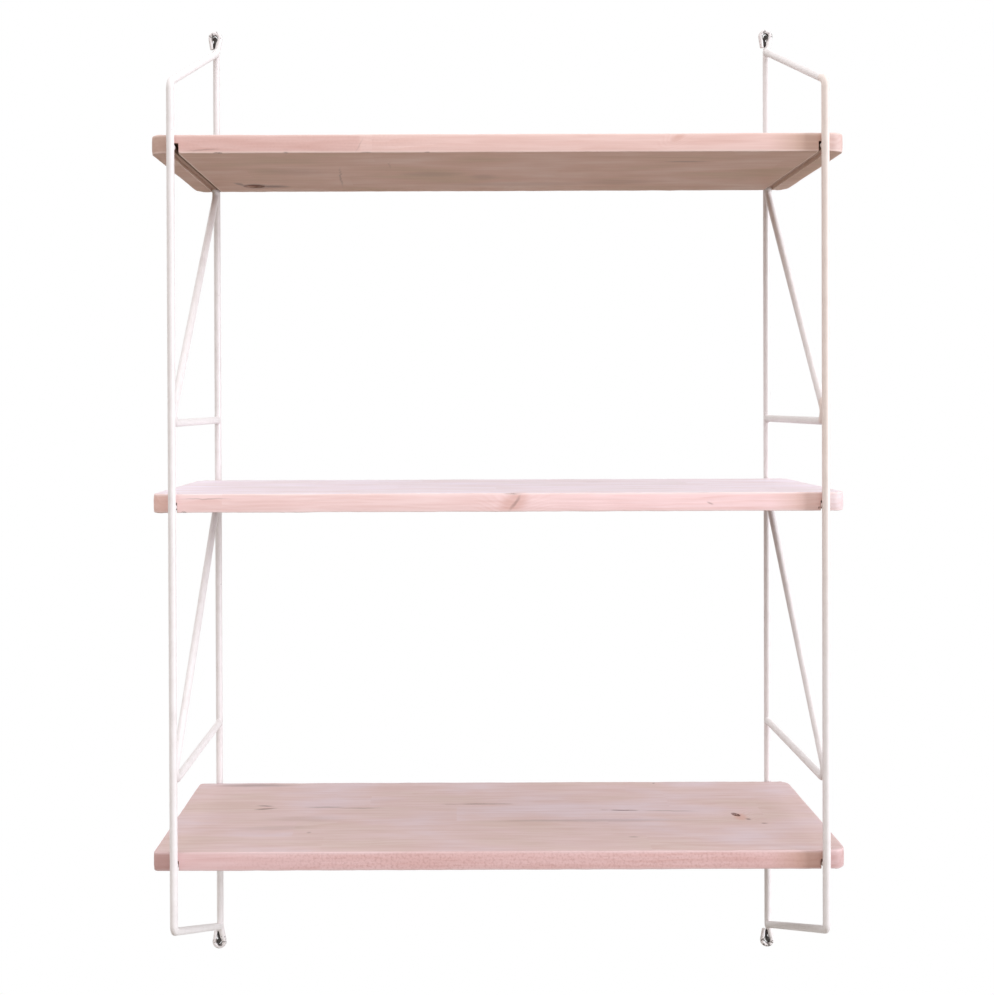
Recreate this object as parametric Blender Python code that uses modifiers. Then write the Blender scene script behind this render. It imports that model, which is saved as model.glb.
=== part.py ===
"""Wall shelf: three loose wooden boards on two welded wire ladders that hang on wall nails.

Metres, +X to the right, +Y into the wall, +Z up. The origin is on the wall, midway between the two ladders.
Each ladder is bent from round wire in the Y-Z plane: a rear upright whose ends are curled into eyes, a front
frame with sloping arms, two zigzags and a bottom rung. Each board drops over one rung of each ladder by its
two saw kerfs.
"""

import math

import bmesh
import bpy
from mathutils import Vector

# Boards
BOARD_LENGTH = 0.605
BOARD_DEPTH = 0.200
BOARD_THICKNESS = 0.017
BOARD_CORNER_RADIUS = 0.012
BOARD_EDGE_RADIUS = 0.0012
BOARD_OVERHANG = 0.0195
BOARD_PLAY = 0.0005
KERF_DEPTH = 0.009
KERF_OUTER_PLAY = 0.0004
KERF_INNER_PLAY = 0.0014

# Ladders
WIRE_DIAMETER = 0.0068
SHELF_PITCH = 0.312
FREE_RUNG_HEIGHT = 0.073
FRONT_BEND_REACH = 0.056
ARM_RISE = 0.082
FRAME_BEND_RADIUS = 0.009
ZIGZAG_BEND_RADIUS = 0.008

# Hanging eyes and the nails that they hang on
EYE_CLEARANCE = 0.0012
EYE_REACH = 0.014
EYE_OFFSET = 0.001
EYE_SLIT = 0.0005
EYE_END_GAP = 0.0015
NAIL_LENGTH = 0.022
NAIL_SHANK_DIAMETER = 0.0034
NAIL_HEAD_DIAMETER = 0.0046
NAIL_HEAD_THICKNESS = 0.0012
NAIL_HEAD_CROWN = 0.0003
NAIL_POINT_LENGTH = 0.006

# Clearances: between pieces that touch, and past a surface that a cutter goes through
FIT_GAP = 0.0003
CUT_MARGIN = 0.002

# Facets
WIRE_BEVEL_RESOLUTION = 4
SADDLE_SEGMENTS = 12
ARC_STEP = math.radians(16)
CORNER_SEGMENTS = 6
EDGE_SEGMENTS = 2
CROWN_RINGS = 2
NAIL_STEPS = 16
SHARP_ANGLE = math.radians(35)
WELD_DISTANCE = 0.00001

# Worked-out sizes and places
WIRE_RADIUS = WIRE_DIAMETER / 2
REAR_Y = -WIRE_RADIUS
UPRIGHT_SPACING = BOARD_DEPTH + 2 * BOARD_PLAY + WIRE_DIAMETER
FRONT_Y = REAR_Y - UPRIGHT_SPACING
LADDER_X = BOARD_LENGTH / 2 - BOARD_OVERHANG
FRONT_BEND_Z = SHELF_PITCH + FRONT_BEND_REACH
ARM_JOINT_Z = FRONT_BEND_Z + ARM_RISE
ARM_HALF_HEIGHT = WIRE_RADIUS * math.hypot(UPRIGHT_SPACING, ARM_RISE) / UPRIGHT_SPACING
EYE_BORE = NAIL_SHANK_DIAMETER + EYE_CLEARANCE
EYE_RADIUS = (EYE_BORE + WIRE_DIAMETER) / 2
NAIL_RISE = EYE_CLEARANCE / 2 - FIT_GAP
NAIL_Z = ARM_JOINT_Z + EYE_REACH + NAIL_RISE
BOARD_DROP = KERF_DEPTH - WIRE_RADIUS - FIT_GAP
RUNG_HEIGHTS = {"top": SHELF_PITCH, "middle": 0.0, "bottom": -SHELF_PITCH}
SIDES = {"left": -1, "right": 1}


def clear_scene():
    for old in list(bpy.data.objects):
        bpy.data.objects.remove(old, do_unlink=True)


def new_collection(name):
    collection = bpy.data.collections.new(name)
    bpy.context.scene.collection.children.link(collection)
    return collection


def principled(name, colour, roughness, metallic=0.0):
    material = bpy.data.materials.new(name)
    material.use_nodes = True
    shader = material.node_tree.nodes["Principled BSDF"]
    shader.inputs["Base Color"].default_value = (*colour, 1.0)
    shader.inputs["Roughness"].default_value = roughness
    shader.inputs["Metallic"].default_value = metallic
    return material


def new_empty(name, location=(0, 0, 0), parent=None):
    empty = bpy.data.objects.new(name, None)
    empty.location = location
    empty.parent = parent
    parts.objects.link(empty)
    return empty


def new_part(name, mesh, material, parent):
    part = bpy.data.objects.new(name, mesh)
    mesh.materials.clear()
    mesh.materials.append(material)
    part.parent = parent
    parts.objects.link(part)
    return part


def new_cutter(name, mesh, parent):
    cutter = bpy.data.objects.new(name, mesh)
    cutter.parent = parent
    cutter.hide_render = True
    cutter.display_type = "WIRE"
    cutters.objects.link(cutter)
    return cutter


def cut(part, cutter):
    boolean = part.modifiers.new(cutter.name, "BOOLEAN")
    boolean.operation = "DIFFERENCE"
    boolean.solver = "EXACT"
    boolean.object = cutter


def smooth(mesh):
    mesh.shade_smooth()
    mesh.set_sharp_from_angle(angle=SHARP_ANGLE)


def arc(centre, radius, start, end):
    """Points round a circle from one angle to another, in the plane of the bend."""
    steps = math.ceil(abs(end - start) / ARC_STEP)
    angles = [start + (end - start) * step / steps for step in range(steps + 1)]
    return [(centre[0] + radius * math.cos(a), centre[1] + radius * math.sin(a)) for a in angles]


def rounded(before, corner, after, radius):
    """The arc of a bend between the two straight runs that would meet at the corner."""
    corner = Vector(corner)
    back = (Vector(before) - corner).normalized()
    ahead = (Vector(after) - corner).normalized()
    half_angle = back.angle(ahead) / 2
    centre = corner + (back + ahead).normalized() * (radius / math.sin(half_angle))
    tangent = radius / math.tan(half_angle)
    spoke = corner + back * tangent - centre
    start = math.atan2(spoke.y, spoke.x)
    turn = math.pi - 2 * half_angle
    side = back.x * ahead.y - back.y * ahead.x
    return arc(centre, radius, start, start + math.copysign(turn, -side))


def bent_wire(name, points, material, parent):
    """One length of round wire along the points, made a mesh with closed ends."""
    curve = bpy.data.curves.new(name + "_path", "CURVE")
    curve.dimensions = "3D"
    curve.bevel_depth = WIRE_RADIUS
    curve.bevel_resolution = WIRE_BEVEL_RESOLUTION
    curve.use_fill_caps = True
    spline = curve.splines.new("POLY")
    spline.points.add(len(points) - 1)
    for point, place in zip(spline.points, points):
        point.co = (*place, 1.0)
    path = bpy.data.objects.new(name + "_path", curve)
    cutters.objects.link(path)
    mesh = bpy.data.meshes.new_from_object(path.evaluated_get(bpy.context.evaluated_depsgraph_get()))
    bpy.data.objects.remove(path, do_unlink=True)
    work = bmesh.new()
    work.from_mesh(mesh)
    bmesh.ops.remove_doubles(work, verts=work.verts, dist=WELD_DISTANCE)
    bmesh.ops.recalc_face_normals(work, faces=work.faces)
    work.to_mesh(mesh)
    work.free()
    mesh.name = name
    smooth(mesh)
    return new_part(name, mesh, material, parent)


def cope(wire, upright_y, height, parent):
    """Saddle the end of a wire to the round side of the upright that it is welded to."""
    half_facet = math.pi / SADDLE_SEGMENTS
    radius = (WIRE_RADIUS + FIT_GAP) / math.cos(half_facet)
    work = bmesh.new()
    bmesh.ops.create_cone(
        work,
        cap_ends=True,
        segments=SADDLE_SEGMENTS,
        radius1=radius,
        radius2=radius,
        depth=4 * ARM_HALF_HEIGHT,
    )
    mesh = bpy.data.meshes.new(wire.name + "_saddle")
    work.to_mesh(mesh)
    work.free()
    saddle = new_cutter(mesh.name, mesh, parent)
    saddle.location = (0, upright_y, height)
    saddle.rotation_euler = (0, 0, half_facet)
    cut(wire, saddle)


def eye_points():
    """Path of an eye from the arm joint on the upright: up its right side, over, and down to the free end."""
    centre = Vector((-EYE_OFFSET, EYE_REACH))
    right = math.atan2(centre.y, centre.x) - math.asin(EYE_RADIUS / centre.length)
    end_height = ARM_HALF_HEIGHT + EYE_END_GAP
    end = Vector((end_height / math.tan(right) - (WIRE_DIAMETER + EYE_SLIT) / math.sin(right), end_height))
    rise = centre - end
    left = math.atan2(rise.y, rise.x) + math.asin(EYE_RADIUS / rise.length)
    loop = arc(centre, EYE_RADIUS, right - math.pi / 2, left + math.pi / 2)
    return [(0.0, 0.0), *loop, tuple(end)]


def rear_upright(side, ladder):
    eye = eye_points()
    upper = [(x, REAR_Y, ARM_JOINT_Z + rise) for x, rise in eye]
    lower = [(x, REAR_Y, -ARM_JOINT_Z - rise) for x, rise in reversed(eye)]
    bent_wire(side + "_rear_upright", lower + upper, paint, ladder)


def front_frame(side, ladder):
    arm_end = (REAR_Y, ARM_JOINT_Z)
    bend = (FRONT_Y, FRONT_BEND_Z)
    middle = (FRONT_Y, 0.0)
    upper = [arm_end, *rounded(arm_end, bend, middle, FRAME_BEND_RADIUS)]
    lower = [(y, -z) for y, z in reversed(upper)]
    frame = bent_wire(side + "_front_frame", [(0.0, y, z) for y, z in upper + lower], paint, ladder)
    cope(frame, REAR_Y, ARM_JOINT_Z, ladder)
    cope(frame, REAR_Y, -ARM_JOINT_Z, ladder)


def zigzag(name, ladder, top, low):
    """Rung under a board, bend at the rear upright, diagonal, bend at the front upright, free rung."""
    reach = WIRE_DIAMETER + FIT_GAP + ZIGZAG_BEND_RADIUS
    rear_centre = Vector((REAR_Y - reach, top - ZIGZAG_BEND_RADIUS))
    front_centre = Vector((FRONT_Y + reach, low + ZIGZAG_BEND_RADIUS))
    between = front_centre - rear_centre
    crossing = math.asin(2 * ZIGZAG_BEND_RADIUS / between.length)
    heading = math.atan2(between.y, between.x) - crossing
    rear_bend = arc(rear_centre, ZIGZAG_BEND_RADIUS, math.pi / 2, heading + math.pi / 2)
    front_bend = arc(front_centre, ZIGZAG_BEND_RADIUS, heading + 3 * math.pi / 2, 3 * math.pi / 2)
    path = [(FRONT_Y, top), *rear_bend, *front_bend, (REAR_Y, low)]
    wire = bent_wire(name, [(0.0, y, z) for y, z in path], paint, ladder)
    cope(wire, FRONT_Y, top, ladder)
    cope(wire, REAR_Y, low, ladder)


def bottom_rung(side, ladder):
    height = RUNG_HEIGHTS["bottom"]
    rung = bent_wire(side + "_bottom_rung", [(0, FRONT_Y, height), (0, REAR_Y, height)], paint, ladder)
    cope(rung, FRONT_Y, height, ladder)
    cope(rung, REAR_Y, height, ladder)


def nail(name, ladder, height):
    """Round nail, turned about its own axis; its head seats in the flare of the eye."""
    shank = NAIL_SHANK_DIAMETER / 2
    head = NAIL_HEAD_DIAMETER / 2
    throat = max(0.0, EYE_RADIUS - (head + NAIL_RISE + FIT_GAP))
    seat_y = REAR_Y - math.sqrt(max(0.0, WIRE_RADIUS**2 - throat**2))
    rings = [ring / CROWN_RINGS for ring in range(CROWN_RINGS + 1)]
    profile = [
        *[(head * ring, NAIL_HEAD_THICKNESS - NAIL_HEAD_CROWN * ring**2) for ring in rings],
        (head, 0.0),
        (shank, 0.0),
        (shank, NAIL_POINT_LENGTH - NAIL_LENGTH),
        (0.0, -NAIL_LENGTH),
    ]
    mesh = bpy.data.meshes.new(name)
    edges = [(i, i + 1) for i in range(len(profile) - 1)]
    mesh.from_pydata([(radius, 0.0, z) for radius, z in profile], edges, [])
    part = new_part(name, mesh, steel, ladder)
    part.location = (-EYE_OFFSET, seat_y, height)
    part.rotation_euler = (math.pi / 2, 0, 0)
    screw = part.modifiers.new("turned", "SCREW")
    screw.steps = NAIL_STEPS
    screw.render_steps = NAIL_STEPS
    screw.use_merge_vertices = True
    screw.merge_threshold = WELD_DISTANCE


def board(name, rung_height):
    """Board with rounded plan corners, eased edges and a kerf over each ladder's rung."""
    work = bmesh.new()
    bmesh.ops.create_cube(work, size=1.0)
    bmesh.ops.scale(work, vec=(BOARD_LENGTH, BOARD_DEPTH, BOARD_THICKNESS), verts=work.verts)
    upright = [edge for edge in work.edges if abs(edge.verts[0].co.z - edge.verts[1].co.z) > FIT_GAP]
    bmesh.ops.bevel(
        work,
        geom=upright,
        offset=BOARD_CORNER_RADIUS,
        segments=CORNER_SEGMENTS,
        profile=0.5,
        affect="EDGES",
    )
    mesh = bpy.data.meshes.new(name)
    work.to_mesh(mesh)
    work.free()
    smooth(mesh)
    part = new_part(name, mesh, wood, wall)
    underside = rung_height - BOARD_DROP
    part.location = (0, (FRONT_Y + REAR_Y) / 2, underside + BOARD_THICKNESS / 2)
    easing = part.modifiers.new("eased_edges", "BEVEL")
    easing.width = BOARD_EDGE_RADIUS
    easing.segments = EDGE_SEGMENTS
    easing.limit_method = "ANGLE"
    easing.angle_limit = SHARP_ANGLE
    for side, direction in SIDES.items():
        cut(part, kerf(f"{name}_{side}_kerf", part, direction))


def kerf(name, part, direction):
    width = WIRE_DIAMETER + KERF_OUTER_PLAY + KERF_INNER_PLAY
    centre = LADDER_X - (KERF_INNER_PLAY - KERF_OUTER_PLAY) / 2
    floor = -BOARD_THICKNESS / 2 - CUT_MARGIN
    ceiling = KERF_DEPTH - BOARD_THICKNESS / 2
    work = bmesh.new()
    bmesh.ops.create_cube(work, size=1.0)
    bmesh.ops.scale(work, vec=(width, BOARD_DEPTH + 2 * CUT_MARGIN, ceiling - floor), verts=work.verts)
    mesh = bpy.data.meshes.new(name)
    work.to_mesh(mesh)
    work.free()
    cutter = new_cutter(name, mesh, part)
    cutter.location = (direction * centre, 0, (ceiling + floor) / 2)
    return cutter


clear_scene()
parts = new_collection("wall_shelf")
cutters = new_collection("wall_shelf_cutters")
paint = principled("white_painted_wire", (0.82, 0.79, 0.76), 0.42)
wood = principled("pink_washed_wood", (0.62, 0.45, 0.42), 0.72)
steel = principled("dark_nail_steel", (0.05, 0.045, 0.045), 0.45, 1.0)
wall = new_empty("wall_plane")
for side, direction in SIDES.items():
    ladder = new_empty(side + "_ladder", (direction * LADDER_X, 0, 0), wall)
    rear_upright(side, ladder)
    front_frame(side, ladder)
    upper_low = RUNG_HEIGHTS["middle"] + FREE_RUNG_HEIGHT
    lower_low = RUNG_HEIGHTS["bottom"] + FREE_RUNG_HEIGHT
    zigzag(side + "_upper_zigzag", ladder, RUNG_HEIGHTS["top"], upper_low)
    zigzag(side + "_lower_zigzag", ladder, RUNG_HEIGHTS["middle"], lower_low)
    bottom_rung(side, ladder)
    nail(side + "_top_nail", ladder, NAIL_Z)
    nail(side + "_bottom_nail", ladder, -NAIL_Z)
for level, rung_height in RUNG_HEIGHTS.items():
    board(level + "_board", rung_height)
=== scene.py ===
"""Wall shelf: three pink-washed pine boards on two ladders of white painted wire that hang on nails."""

import math

import bmesh
import bpy
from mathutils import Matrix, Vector


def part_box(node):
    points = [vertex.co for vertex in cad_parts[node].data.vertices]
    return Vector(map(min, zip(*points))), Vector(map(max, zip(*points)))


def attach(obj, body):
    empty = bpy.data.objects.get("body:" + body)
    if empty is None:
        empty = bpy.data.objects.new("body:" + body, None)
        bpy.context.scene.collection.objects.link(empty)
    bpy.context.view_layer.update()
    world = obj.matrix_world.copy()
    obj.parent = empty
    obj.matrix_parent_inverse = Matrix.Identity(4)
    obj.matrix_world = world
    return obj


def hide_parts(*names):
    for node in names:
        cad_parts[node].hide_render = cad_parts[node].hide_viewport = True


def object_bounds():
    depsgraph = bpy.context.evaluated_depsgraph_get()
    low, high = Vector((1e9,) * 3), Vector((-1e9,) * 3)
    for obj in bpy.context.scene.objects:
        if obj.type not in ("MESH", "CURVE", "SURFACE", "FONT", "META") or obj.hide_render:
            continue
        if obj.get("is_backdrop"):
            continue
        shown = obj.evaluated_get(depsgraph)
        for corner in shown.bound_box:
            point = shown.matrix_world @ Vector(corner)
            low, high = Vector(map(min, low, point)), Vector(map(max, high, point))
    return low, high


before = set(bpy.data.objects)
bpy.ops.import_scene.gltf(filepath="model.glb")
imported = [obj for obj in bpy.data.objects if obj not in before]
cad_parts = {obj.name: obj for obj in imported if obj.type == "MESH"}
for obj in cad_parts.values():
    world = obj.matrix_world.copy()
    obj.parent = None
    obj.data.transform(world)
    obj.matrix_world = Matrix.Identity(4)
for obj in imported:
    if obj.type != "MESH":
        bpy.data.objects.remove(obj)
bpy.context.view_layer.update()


# The camera. It stands a little over a metre in front of the shelf, just above the middle board and left of
# its centre, and looks almost straight at the wall. Its optical centre lies above and left of the middle of
# the picture.
IMAGE_WIDTH = 994
IMAGE_HEIGHT = 995
FOCAL_LENGTH_PIXELS = 1248.8
OPTICAL_CENTRE_PIXELS = (459.4, 411.2)
SENSOR_MM = 36.0
CAMERA_PLACE = (-0.0340, -1.2913, 0.0890)
CAMERA_TILT = math.radians(89.663)
CAMERA_ROLL = math.radians(0.2)

lens = bpy.data.cameras.new("camera")
lens.sensor_width = SENSOR_MM
lens.lens = FOCAL_LENGTH_PIXELS * SENSOR_MM / IMAGE_HEIGHT
lens.shift_x = (IMAGE_WIDTH / 2 - OPTICAL_CENTRE_PIXELS[0]) / IMAGE_HEIGHT
lens.shift_y = (OPTICAL_CENTRE_PIXELS[1] - IMAGE_HEIGHT / 2) / IMAGE_HEIGHT
camera = bpy.data.objects.new("camera", lens)
camera.location = CAMERA_PLACE
camera.rotation_euler = (CAMERA_TILT, CAMERA_ROLL, 0)
bpy.context.scene.collection.objects.link(camera)
bpy.context.scene.camera = camera
bpy.context.scene.view_settings.view_transform = "Standard"


# Rear uprights. Each is one length of 6.8 mm steel wire that stands against the wall. Both ends are
# hammered thinner, kinked over, curled round a former into a hanging eye and brought back down against the
# neck, so that the eye is closed.
WIRE_RADIUS = 0.00339
WIRE_SIDES = 24
BEND_STEP = math.radians(9)
LADDER_X = {"left": -0.283, "right": 0.283}
REAR_Y = -0.0034
ARM_JOINT_Z = 0.450
SHELF_PITCH = 0.312
EYE_CENTRE = Vector((-0.001, 0.0158))
EYE_RADIUS = 0.0048
EYE_END = Vector((-0.0042, 0.0042))
EYE_WIRE = (0.0026, 0.0022, 0.0019)
KINK_RADIUS = 0.010
CUT_END_ROUNDING = 0.0009
SMOOTH_ANGLE = math.radians(40)
FLAKE_MM = 3.03
LOOSE_PATCH_MM = 41.67
GRIME_MM = 14.29
BRUSH_MARK_MM = 1.111
BOARD_DEPTH = 0.200
BOARD_Y = -0.1073
KERF_SHADE_INSET = 0.0002
KERF_SHADE_HALF_HEIGHT = 0.0036
CREVICE_SHADE_X = 0.2813
EYE_WEAR_Z = (0.456, 0.466)
WARM_BOUNCE_X = 0.2
WARM_BOUNCE_Y = -0.2
WARM_BOUNCE_Z = (-0.15, 0.05)
NAIL_HOLE_SHADE = 0.0031
CROTCH_SHADE = (-0.00175, 0, 0.0098)
CROTCH_SHADE_HALF_SIZES = (0.0017, 1.0, 0.0060)


def linear(code):
    """An sRGB hex colour as linear red, green, blue and alpha."""
    levels = [int(code[i : i + 2], 16) / 255 for i in (1, 3, 5)]
    return (*[v / 12.92 if v <= 0.04045 else ((v + 0.055) / 1.055) ** 2.4 for v in levels], 1.0)


def feed(tree, node, inputs):
    """Sets a node's inputs, or links each to a socket or to another node's first live output."""
    for key, value in inputs.items():
        if isinstance(value, bpy.types.Node):
            value = next(socket for socket in value.outputs if socket.enabled)
        if isinstance(value, bpy.types.NodeSocket):
            tree.links.new(value, node.inputs[key])
        else:
            node.inputs[key].default_value = value


def add(tree, kind, inputs, operation=None, **settings):
    """Adds a shader node with its settings and inputs. A ramp setting gives a colour ramp its stops."""
    made = tree.nodes.new("ShaderNode" + kind)
    if operation:
        made.operation = operation
    for stop, (position, code) in enumerate(settings.pop("ramp", [])):
        stops = made.color_ramp.elements
        point = stops[stop] if stop < 2 else stops.new(position)
        point.position = position
        point.color = linear(code)
    for key, value in settings.items():
        setattr(made, key, value)
    feed(tree, made, inputs)
    return made


def new_finish(name):
    """A material of this name, its node tree, its shader and the place of each point of the piece."""
    made = bpy.data.materials.new(name)
    made.use_nodes = True
    tree = made.node_tree
    return made, tree, tree.nodes["Principled BSDF"], add(tree, "TexCoord", {}).outputs["Object"]


def cover(piece, finish):
    """Gives the piece this finish and no other."""
    piece.data.materials.clear()
    piece.data.materials.append(finish)


def pick(piece):
    """Selects this piece alone and makes it the active one."""
    bpy.ops.object.select_all(action="DESELECT")
    piece.select_set(True)
    bpy.context.view_layer.objects.active = piece


def start_wire(name, place, heading, radius=WIRE_RADIUS):
    """Puts the round end of a wire at the place, facing along its heading, ready to be drawn out."""
    bpy.ops.object.select_all(action="DESELECT")
    bpy.ops.mesh.primitive_circle_add(
        vertices=WIRE_SIDES,
        radius=radius,
        fill_type="NGON",
        location=place,
        rotation=heading.to_track_quat("Z", "Y").to_euler(),
    )
    wire = bpy.context.object
    wire.name = wire.data.name = name
    bpy.ops.object.transform_apply(location=True, rotation=True, scale=True)
    bpy.ops.object.mode_set(mode="EDIT")
    bpy.ops.mesh.select_mode(type="FACE")
    bpy.ops.mesh.select_all(action="SELECT")
    return wire


def pull(run):
    """Draws the wire out straight."""
    bpy.ops.mesh.extrude_region_move(TRANSFORM_OT_translate={"value": run})


def bend(centre, axis, angle):
    """Bends the wire round a former, right-handed about the axis, for which spin wants a negative angle."""
    bpy.ops.mesh.spin(steps=math.ceil(angle / BEND_STEP), angle=-angle, center=centre, axis=axis)


def taper(radius):
    """Hammers the end of the wire to the radius."""
    rim = [v.co.copy() for v in bmesh.from_edit_mesh(bpy.context.object.data).verts if v.select]
    middle = sum(rim, Vector()) / len(rim)
    share = radius / (rim[0] - middle).length
    bpy.ops.transform.resize(value=(share, share, share), center_override=middle)


def close_mesh():
    """Leaves edit mode with the seams merged, the faces pointing outwards and the round sides smooth."""
    bpy.ops.mesh.select_all(action="SELECT")
    bpy.ops.mesh.remove_doubles(threshold=0.000001)
    bpy.ops.mesh.normals_make_consistent(inside=False)
    bpy.ops.object.mode_set(mode="OBJECT")
    bpy.ops.object.shade_smooth_by_angle(angle=SMOOTH_ANGLE)


def mirror_down(wire):
    """Makes the lower half of a wire from its upper half, which starts half-way up the ladder."""
    bpy.ops.mesh.select_all(action="DESELECT")
    work = bmesh.from_edit_mesh(wire.data)
    for face in work.faces:
        face.select_set(face.calc_center_median().z < WIRE_RADIUS and abs(face.normal.z) > 0.9)
    bpy.ops.mesh.delete(type="ONLY_FACE")
    bpy.ops.object.mode_set(mode="OBJECT")
    mirror = wire.modifiers.new("lower half", "MIRROR")
    mirror.use_axis = (False, False, True)
    mirror.merge_threshold = 0.00001
    bpy.ops.object.modifier_apply(modifier=mirror.name)
    bpy.ops.object.mode_set(mode="EDIT")


def copy_of(piece, name, shift):
    """A copy with its own mesh, moved by the shift, which goes into the mesh."""
    pick(piece)
    bpy.ops.object.duplicate()
    twin = bpy.context.object
    twin.name = twin.data.name = name
    twin.location = shift
    bpy.ops.object.transform_apply(location=True, rotation=True, scale=True)
    return twin


def hang(piece, node):
    """The wire stands for its CAD node, is part of the ladders and takes the paint of the wires."""
    cover(piece, white_paint)
    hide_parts(node)
    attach(piece, "ladders")


# White oil paint brushed on steel wire: a satin coat, a little yellowed, that pools in faint runs. It is
# chipped through to dull grey steel in small flakes, and rubbed off the eyes, where the nails have scraped.
# Its colour also holds painted light: warm bounce light on the right front upright, and painted shade on
# the rungs under the boards and in the eyes.
white_paint, tree, shader, place = new_finish("white_oil_paint_on_steel")
across, back, height = add(tree, "SeparateXYZ", {"Vector": place}).outputs
from_middle = add(tree, "Math", {0: height}, "ABSOLUTE")
at_eyes = add(
    tree,
    "MapRange",
    {"Value": from_middle, "From Min": EYE_WEAR_Z[0], "From Max": EYE_WEAR_Z[1], "To Max": 0.24},
)
flakes = add(tree, "TexNoise", {"Vector": place, "Scale": 1000 / FLAKE_MM, "Detail": 3.0, "Roughness": 0.6})
patches = add(tree, "TexNoise", {"Vector": place, "Scale": 1000 / LOOSE_PATCH_MM, "Detail": 2.0})
loose = add(tree, "Math", {0: patches, 1: 0.30, 2: at_eyes}, "MULTIPLY_ADD")
chipping = add(tree, "Math", {0: flakes, 1: loose}, "ADD")
bare = add(tree, "MapRange", {"Value": chipping, "From Min": 0.92, "From Max": 0.95})
grime = add(tree, "TexNoise", {"Vector": place, "Scale": 1000 / GRIME_MM, "Detail": 4.0, "Roughness": 0.65})
coat = add(tree, "ValToRGB", {"Fac": grime}, ramp=[(0.28, "#E3DCDB"), (0.50, "#EAE4E3"), (0.75, "#EEE9E9")])
steel = add(tree, "ValToRGB", {"Fac": flakes}, ramp=[(0.35, "#5C4C42"), (0.60, "#77716D")])
colour = add(tree, "Mix", {"Factor": bare, "A": coat, "B": steel}, data_type="RGBA")

# painted warm bounce light: the upper half of the right front upright is tinted warm for the light that
# the pink boards throw on it
warm_bounce_tint = add(tree, "MapRange", {"Value": height, "From Min": WARM_BOUNCE_Z[0], "From Max": WARM_BOUNCE_Z[1]})
for limit, reading, operation in ((WARM_BOUNCE_X, across, "GREATER_THAN"), (WARM_BOUNCE_Y, back, "LESS_THAN")):
    there = add(tree, "Math", {0: reading, 1: limit}, operation)
    warm_bounce_tint = add(tree, "Math", {0: warm_bounce_tint, 1: there}, "MULTIPLY")
colour = add(
    tree,
    "Mix",
    {"Factor": warm_bounce_tint, "A": colour, "B": linear("#FFF6EF")},
    data_type="RGBA",
    blend_type="MULTIPLY",
)

# painted shade: where a board covers a rung, the paint takes a pink-brown tone for the shade and the warm
# light of the wood in the kerf, and a darker painted shade lies in the gap on its inner side
levels = add(tree, "Math", {0: height, 1: SHELF_PITCH}, "DIVIDE")
nearest = add(tree, "Math", {0: levels}, "ROUND")
off = add(tree, "Math", {0: nearest, 1: -SHELF_PITCH, 2: height}, "MULTIPLY_ADD")
at_rung = add(tree, "Math", {0: off, 1: 0.0, 2: KERF_SHADE_HALF_HEIGHT}, "COMPARE")
between = add(tree, "Math", {0: back, 1: BOARD_Y, 2: BOARD_DEPTH / 2 - KERF_SHADE_INSET}, "COMPARE")
kerf_shade = add(tree, "Math", {0: at_rung, 1: between}, "MULTIPLY")
aside = add(tree, "Math", {0: across}, "ABSOLUTE")
inner = add(tree, "Math", {0: aside, 1: CREVICE_SHADE_X}, "LESS_THAN")
crevice_shade = add(tree, "Math", {0: kerf_shade, 1: inner}, "MULTIPLY")

# painted shade: near-black paint lines the hole of each eye round the nail and the crotch below it, where
# the gap of the eye lies in shadow
hand = add(tree, "Math", {0: across}, "SIGN")
from_ladder = add(tree, "Math", {0: hand, 1: LADDER_X["left"], 2: across}, "MULTIPLY_ADD")
eye_place = add(tree, "CombineXYZ", {"X": from_ladder, "Z": from_middle})
eye_shade = 0.0
for centre, half_sizes in (
    ((EYE_CENTRE.x, 0, EYE_CENTRE.y), (NAIL_HOLE_SHADE, 1.0, NAIL_HOLE_SHADE)),
    (CROTCH_SHADE, CROTCH_SHADE_HALF_SIZES),
):
    at = Vector(centre) + Vector((0, 0, ARM_JOINT_Z))
    lined = add(
        tree,
        "Mapping",
        {"Vector": eye_place, "Location": at, "Scale": half_sizes},
        vector_type="TEXTURE",
    )
    far = add(tree, "VectorMath", {0: lined}, "LENGTH")
    lining = add(
        tree,
        "MapRange",
        {"Value": far, "From Min": 0.8, "From Max": 1.05, "To Min": 1.0, "To Max": 0.0},
    )
    eye_shade = add(tree, "Math", {0: eye_shade, 1: lining}, "MAXIMUM")
for share, limit, tone in ((kerf_shade, 0.75, "#D2B09F"), (crevice_shade, 0.85, "#735C4E"), (eye_shade, 0.94, "#2B2422")):
    painted_shade = add(tree, "Math", {0: share, 1: limit}, "MULTIPLY")
    colour = add(tree, "Mix", {"Factor": painted_shade, "A": colour, "B": linear(tone)}, data_type="RGBA")
sheen = add(tree, "MapRange", {"Value": grime, "To Min": 0.30, "To Max": 0.50})
shaded_paint = add(tree, "Math", {0: kerf_shade, 1: eye_shade}, "MAXIMUM")
dull = add(tree, "Math", {0: shaded_paint, 1: 0.5, 2: sheen}, "MULTIPLY_ADD")
finish = add(tree, "Math", {0: bare, 1: 0.15, 2: dull}, "MULTIPLY_ADD")
gloss = add(tree, "Math", {0: shaded_paint, 1: -0.45, 2: 0.5}, "MULTIPLY_ADD")
brushed = add(tree, "TexNoise", {"Vector": place, "Scale": 1000 / BRUSH_MARK_MM, "Detail": 1.0})
level = add(tree, "Math", {0: bare, 1: -1.0, 2: brushed}, "MULTIPLY_ADD")
relief = add(tree, "Bump", {"Height": level, "Strength": 0.12, "Distance": 0.0002})
feed(tree, shader, {"Base Color": colour, "Roughness": finish, "Normal": relief})
feed(tree, shader, {"Specular IOR Level": gloss})

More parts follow.
